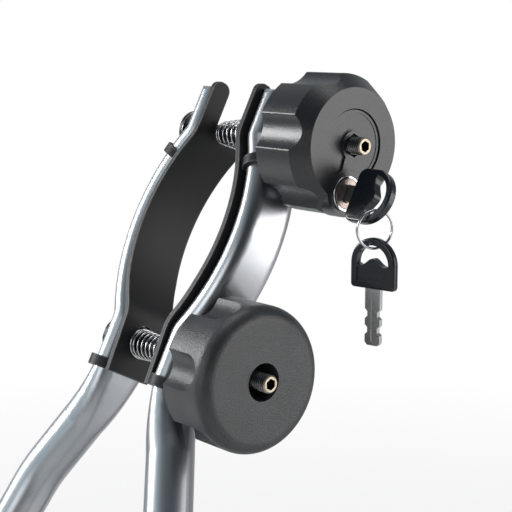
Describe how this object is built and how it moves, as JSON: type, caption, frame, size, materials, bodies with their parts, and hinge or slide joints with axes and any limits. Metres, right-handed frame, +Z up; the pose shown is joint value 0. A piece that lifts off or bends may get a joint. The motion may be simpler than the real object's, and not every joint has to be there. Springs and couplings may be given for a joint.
{
  "type": "roof mounted bike carrier",
  "caption": "Roof bar bike carrier: a wheel tray on bar clamps with a fold-up two-tube arm whose padded jaws grip a frame tube by hand knobs, one with a key lock.",
  "frame": {"origin": "The middle of the wheel tray's flat underside.", "axes": "+X runs along the tray, the way the clamp arm leans as it rises. +Y runs across the tray, away from the hand knobs, which stand on the -Y side. +Z is up."},
  "size_m": [1.3048, 0.1988, 0.6076],
  "materials": {
    "bright_steel": "bright polished steel tube with a clear coat",
    "black_plastic": "black moulded plastic, fine satin grain",
    "black_steel": "black oxide steel with worn bright thread crests",
    "spring_steel": "bright drawn wire",
    "brass": "turned brass",
    "chrome": "bright plated",
    "black_gloss": "glossy black moulded plastic",
    "black_paint": "black powder coat on pressed steel",
    "zinc_steel": "bright zinc plate",
    "tray_aluminium": "drawn aluminium, satin anodised",
    "rubber": "soft black rubber",
    "strap_plastic": "dark grey flexible plastic"
  },
  "bodies": {
    "tray": {"wheel_tray": "tray_aluminium", "front_end_cap": "black_plastic", "rear_end_cap": "black_plastic", "arm_bracket": "black_paint", "right_foot_bush": "black_plastic", "left_foot_bush": "black_plastic", "pivot_washers": "zinc_steel", "arm_pivot_bolt": "zinc_steel", "arm_pivot_nut": "zinc_steel", "pivot_sleeve": "zinc_steel", "front_bar_saddle": "black_plastic", "rear_bar_saddle": "black_plastic", "front_bar_pad": "rubber", "rear_bar_pad": "rubber", "tray_screws": "zinc_steel"},
    "right_arm": {"right_arm_tube": "bright_steel", "right_jaw_pad": "black_plastic", "lower_bolt": "black_steel"},
    "left_arm": {"left_arm_tube": "bright_steel", "left_jaw_pad": "black_plastic", "lower_spring": "spring_steel", "upper_spring": "spring_steel"},
    "lower_collar": {"lower_spacer": "black_plastic"},
    "lower_hand_knob": {"lower_knob": "black_plastic", "lower_knob_insert": "brass"},
    "upper_rod": {"upper_bolt": "black_steel"},
    "upper_collar": {"upper_spacer": "black_plastic"},
    "upper_hand_knob": {"upper_knob": "black_plastic", "upper_knob_cover": "black_plastic", "upper_knob_insert": "brass", "lock_housing": "chrome"},
    "plug": {"lock_plug": "chrome"},
    "pin": {"lock_pin": "spring_steel"},
    "key_1": {"key_1_blade": "chrome", "key_1_bow": "black_gloss"},
    "ring": {"split_ring": "spring_steel"},
    "key_2": {"key_2_bow": "black_gloss", "key_2_blade": "chrome"},
    "front_cradle": {"front_wheel_cradle": "black_plastic", "front_wheel_strap": "strap_plastic", "front_buckle_base": "black_plastic", "front_buckle_pin": "zinc_steel"},
    "front_lever": {"front_buckle_lever": "strap_plastic"},
    "rear_cradle": {"rear_wheel_cradle": "black_plastic", "rear_wheel_strap": "strap_plastic", "rear_buckle_base": "black_plastic", "rear_buckle_pin": "zinc_steel"},
    "rear_lever": {"rear_buckle_lever": "strap_plastic"},
    "front_screw": {"front_clamp_screw": "zinc_steel", "front_clamp_knob": "black_plastic"},
    "front_jaw": {"front_clamp_jaw": "black_plastic", "front_jaw_nut": "zinc_steel"},
    "rear_screw": {"rear_clamp_screw": "zinc_steel", "rear_clamp_knob": "black_plastic"},
    "rear_jaw": {"rear_clamp_jaw": "black_plastic", "rear_jaw_nut": "zinc_steel"}
  },
  "joints": [
    {"name": "arm_fold", "type": "hinge", "parent": "tray", "child": "right_arm", "pos_m": [-0.19588, 0, 0.015], "axis": [0, 1, 0], "range_deg": [-70, 50]},
    {"name": "clamp_close", "type": "hinge", "parent": "right_arm", "child": "left_arm", "pos_m": [-0.19588, 0.06982, 0.015], "axis": [0.8902, 0, -0.4555], "range_deg": [0, 2.6], "stiffness_Nm_per_rad": 60, "springref_deg": -1.15, "deforming": ["lower_spring", "upper_spring"]},
    {"name": "lower_knob_travel", "type": "slide", "parent": "right_arm", "child": "lower_collar", "axis": [0, -1, 0], "range_m": [0, 0.00625]},
    {"name": "lower_knob_turn", "type": "hinge", "parent": "lower_collar", "child": "lower_hand_knob", "pos_m": [0, -0.06, 0.39779], "axis": [0, -1, 0], "range_deg": [0, 1800]},
    {"name": "upper_bolt_swing", "type": "hinge", "parent": "right_arm", "child": "upper_rod", "pos_m": [0.04738, -0.03421, 0.49037], "axis": [0.8902, 0, -0.4555], "range_deg": [0, 8]},
    {"name": "upper_knob_travel", "type": "slide", "parent": "upper_rod", "child": "upper_collar", "axis": [0, -1, 0], "range_m": [0, 0.00625]},
    {"name": "upper_knob_turn", "type": "hinge", "parent": "upper_collar", "child": "upper_hand_knob", "pos_m": [0.05079, -0.06, 0.49705], "axis": [0, -1, 0], "range_deg": [0, 1800]},
    {"name": "lock_turn", "type": "hinge", "parent": "upper_hand_knob", "child": "plug", "pos_m": [0.04603, -0.0804, 0.47608], "axis": [0, -1, 0], "range_deg": [0, 90]},
    {"name": "lock_pin_slide", "type": "slide", "parent": "upper_hand_knob", "child": "pin", "axis": [0, 1, 0], "range_m": [0, 0.003]},
    {"name": "key_pull", "type": "slide", "parent": "plug", "child": "key_1", "axis": [0, -1, 0], "range_m": [0, 0.03]},
    {"name": "ring_swing", "type": "hinge", "parent": "key_1", "child": "ring", "pos_m": [0.04347, -0.1002, 0.47107], "axis": [0, -1, 0], "range_deg": [-6, 4]},
    {"name": "key_2_swing", "type": "hinge", "parent": "ring", "child": "key_2", "pos_m": [0.04347, -0.1002, 0.45447], "axis": [0.9455, -0.3256, 0], "range_deg": [-12, 12]},
    {"name": "front_cradle_slide", "type": "slide", "parent": "tray", "child": "front_cradle", "axis": [1, 0, 0], "range_m": [-0.05, 0.02]},
    {"name": "front_lever_open", "type": "hinge", "parent": "front_cradle", "child": "front_lever", "pos_m": [0.52, -0.0474, 0.1038], "axis": [-1, 0, 0], "range_deg": [0, 110]},
    {"name": "rear_cradle_slide", "type": "slide", "parent": "tray", "child": "rear_cradle", "axis": [1, 0, 0], "range_m": [-0.02, 0.05]},
    {"name": "rear_lever_open", "type": "hinge", "parent": "rear_cradle", "child": "rear_lever", "pos_m": [-0.52, -0.0474, 0.1038], "axis": [-1, 0, 0], "range_deg": [0, 110]},
    {"name": "front_screw_turn", "type": "hinge", "parent": "tray", "child": "front_screw", "pos_m": [0.378, 0, -0.06], "axis": [0, 0, 1], "range_deg": [0, 2000]},
    {"name": "front_jaw_slide", "type": "slide", "parent": "tray", "child": "front_jaw", "axis": [0, 0, -1], "range_m": [0, 0.00694]},
    {"name": "rear_screw_turn", "type": "hinge", "parent": "tray", "child": "rear_screw", "pos_m": [-0.378, 0, -0.06], "axis": [0, 0, 1], "range_deg": [0, 2000]},
    {"name": "rear_jaw_slide", "type": "slide", "parent": "tray", "child": "rear_jaw", "axis": [0, 0, -1], "range_m": [0, 0.00694]}
  ],
  "couplings": [
    {"joint": "lower_knob_turn", "follows": "lower_knob_travel", "rad_per_m": 5026.5},
    {"joint": "upper_knob_turn", "follows": "upper_knob_travel", "rad_per_m": 5026.5},
    {"joint": "lock_turn", "follows": "lock_pin_slide", "rad_per_m": 523.6},
    {"joint": "front_screw_turn", "follows": "front_jaw_slide", "rad_per_m": 5026.5},
    {"joint": "rear_screw_turn", "follows": "rear_jaw_slide", "rad_per_m": 5026.5}
  ]
}
